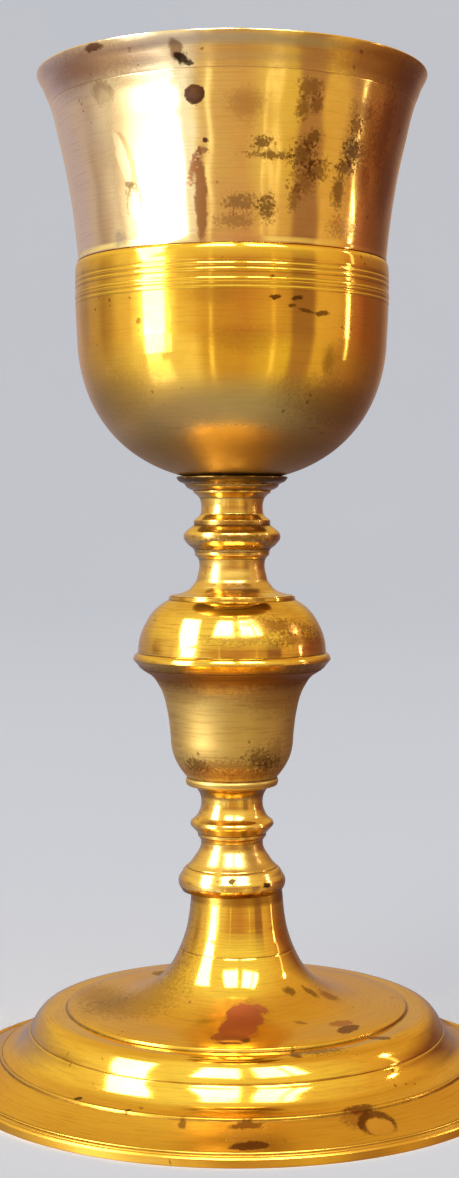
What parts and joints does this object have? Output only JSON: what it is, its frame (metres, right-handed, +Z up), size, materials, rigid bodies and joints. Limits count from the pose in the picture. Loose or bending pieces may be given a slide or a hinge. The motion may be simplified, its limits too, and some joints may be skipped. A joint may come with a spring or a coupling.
{
  "type": "chalice",
  "caption": "Turned metal chalice: flared cup in a bowl-shaped holder, on a knopped stem with a bell-shaped node and a wide stepped round foot.",
  "frame": {"origin": "centre of the foot's underside, on the surface that the chalice stands on", "axes": "+Z up through the stem, -Y towards the side that the picture shows, +X to the right of it"},
  "size_m": [0.1376, 0.1376, 0.2421],
  "materials": {
    "worn_gilding": "beaten silver with worn and spotted gilding, satin",
    "polished_gilding": "turned and polished gilt brass, tarnished in places",
    "stem_gilding": "cast and turned gilt brass, polished on the crowns and dull in the hollows",
    "foot_gilding": "raised and turned gilt brass with red-brown stains"
  },
  "bodies": {
    "root": {"cup": "worn_gilding", "cup_holder": "polished_gilding", "upper_knop": "stem_gilding", "node": "stem_gilding", "lower_knop": "stem_gilding", "foot": "foot_gilding"}
  },
  "joints": []
}
